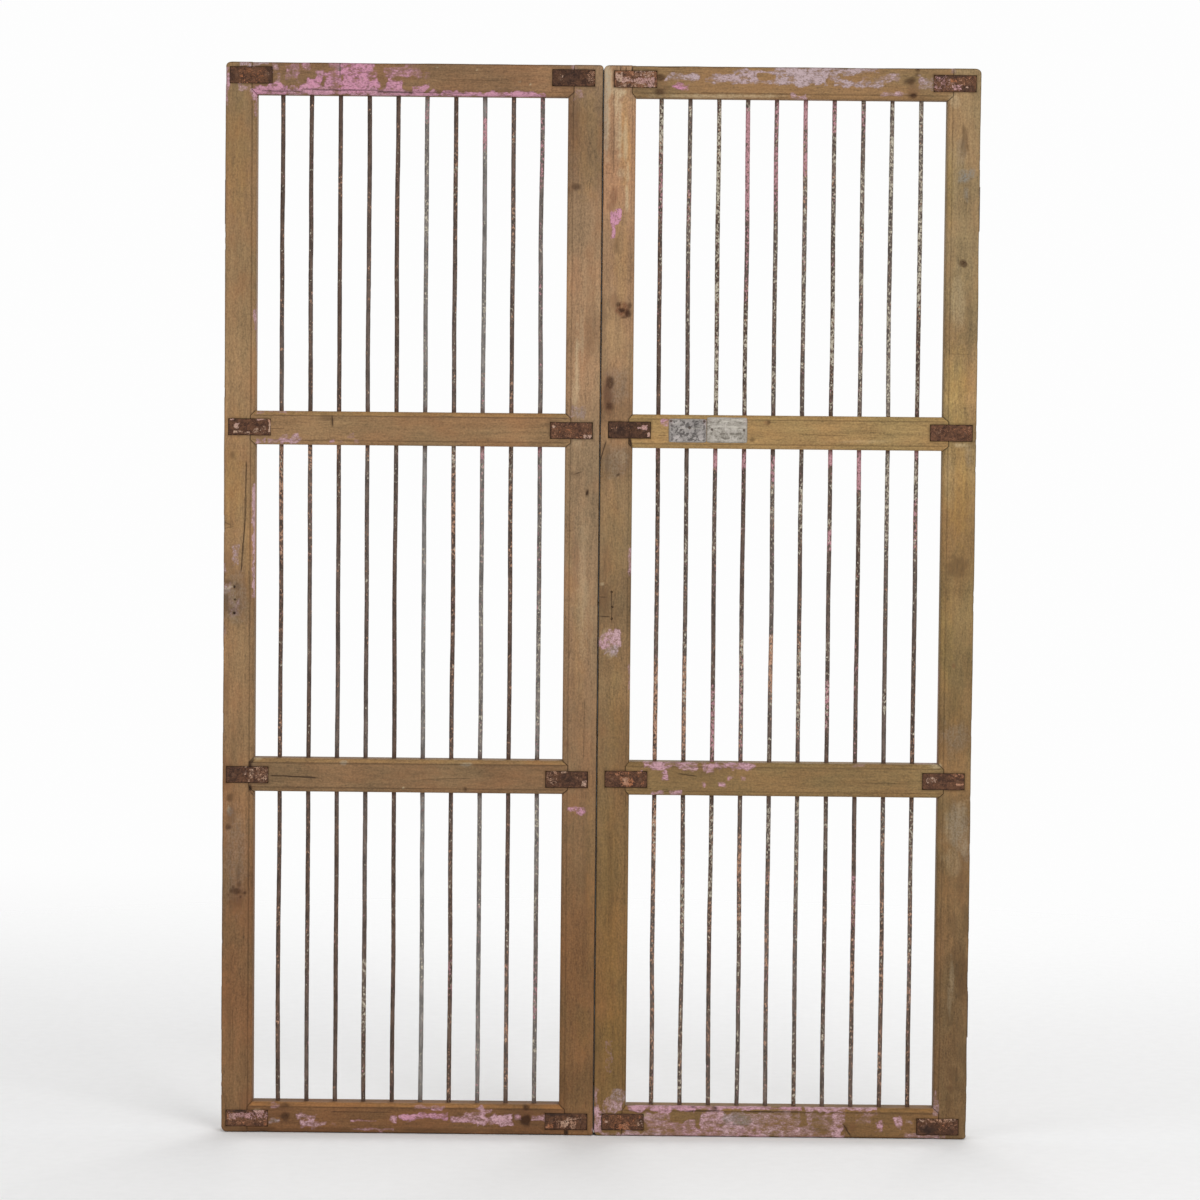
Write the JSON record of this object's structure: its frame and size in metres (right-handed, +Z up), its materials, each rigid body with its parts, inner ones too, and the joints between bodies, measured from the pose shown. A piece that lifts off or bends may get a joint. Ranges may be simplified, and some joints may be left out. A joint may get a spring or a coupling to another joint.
{
  "type": "pair of barred jali doors",
  "caption": "Pair of weathered teak door leaves with upright round iron bars, straps across the frame joints and butt hinges on the outer edges, swinging open to the back.",
  "frame": {"origin": "on the floor under the middle of the closed pair, at the centre of its overall depth", "axes": "+Z up, +X to the right seen from the front, the moulded front faces -Y and the hinge barrels are at the back"},
  "size_m": [1.3064, 0.0522, 1.8545],
  "materials": {
    "teak_left": "weathered oiled teak with rests of pink paint",
    "teak_right": "weathered oiled teak, a little yellower, with rests of pink paint",
    "bar_iron": "dark brown wrought iron with flaked paint",
    "strap_iron": "rusted pitted flat iron",
    "tin_plate_dark": "dull grey tin",
    "tin_plate_pale": "pale dull tin",
    "hinge_iron": "dark worn iron"
  },
  "bodies": {
    "jamb_flaps": {"left_lower_hinge_jamb_flap": "hinge_iron", "left_upper_hinge_jamb_flap": "hinge_iron", "right_lower_hinge_jamb_flap": "hinge_iron", "right_upper_hinge_jamb_flap": "hinge_iron"},
    "left_leaf": {"left_hanging_stile": "teak_left", "left_meeting_stile": "teak_left", "left_bottom_rail": "teak_left", "left_lower_rail": "teak_left", "left_upper_rail": "teak_left", "left_top_rail": "teak_left", "left_bar_01": "bar_iron", "left_bar_02": "bar_iron", "left_bar_03": "bar_iron", "left_bar_04": "bar_iron", "left_bar_05": "bar_iron", "left_bar_06": "bar_iron", "left_bar_07": "bar_iron", "left_bar_08": "bar_iron", "left_bar_09": "bar_iron", "left_bar_10": "bar_iron", "left_bottom_hanging_strap": "strap_iron", "left_bottom_meeting_strap": "strap_iron", "left_lower_hanging_strap": "strap_iron", "left_lower_meeting_strap": "strap_iron", "left_upper_hanging_strap": "strap_iron", "left_upper_meeting_strap": "strap_iron", "left_top_hanging_strap": "strap_iron", "left_top_meeting_strap": "strap_iron", "left_lower_hinge_leaf_flap": "hinge_iron", "left_upper_hinge_leaf_flap": "hinge_iron"},
    "right_leaf": {"right_hanging_stile": "teak_right", "right_meeting_stile": "teak_right", "right_bottom_rail": "teak_right", "right_lower_rail": "teak_right", "right_upper_rail": "teak_right", "right_top_rail": "teak_right", "right_bar_01": "bar_iron", "right_bar_02": "bar_iron", "right_bar_03": "bar_iron", "right_bar_04": "bar_iron", "right_bar_05": "bar_iron", "right_bar_06": "bar_iron", "right_bar_07": "bar_iron", "right_bar_08": "bar_iron", "right_bar_09": "bar_iron", "right_bar_10": "bar_iron", "right_bottom_hanging_strap": "strap_iron", "right_bottom_meeting_strap": "strap_iron", "right_lower_hanging_strap": "strap_iron", "right_lower_meeting_strap": "strap_iron", "right_upper_hanging_strap": "strap_iron", "right_upper_meeting_strap": "strap_iron", "right_top_hanging_strap": "strap_iron", "right_top_meeting_strap": "strap_iron", "right_tin_plate_dark": "tin_plate_dark", "right_tin_plate_pale": "tin_plate_pale", "right_lower_hinge_leaf_flap": "hinge_iron", "right_upper_hinge_leaf_flap": "hinge_iron"}
  },
  "joints": [
    {"name": "left_leaf_swing", "type": "hinge", "parent": "jamb_flaps", "child": "left_leaf", "pos_m": [-0.64815, 0.02115, 0.927], "axis": [0, 0, 1], "range_deg": [0, 110]},
    {"name": "right_leaf_swing", "type": "hinge", "parent": "jamb_flaps", "child": "right_leaf", "pos_m": [0.64815, 0.02115, 0.927], "axis": [0, 0, -1], "range_deg": [0, 110]}
  ]
}
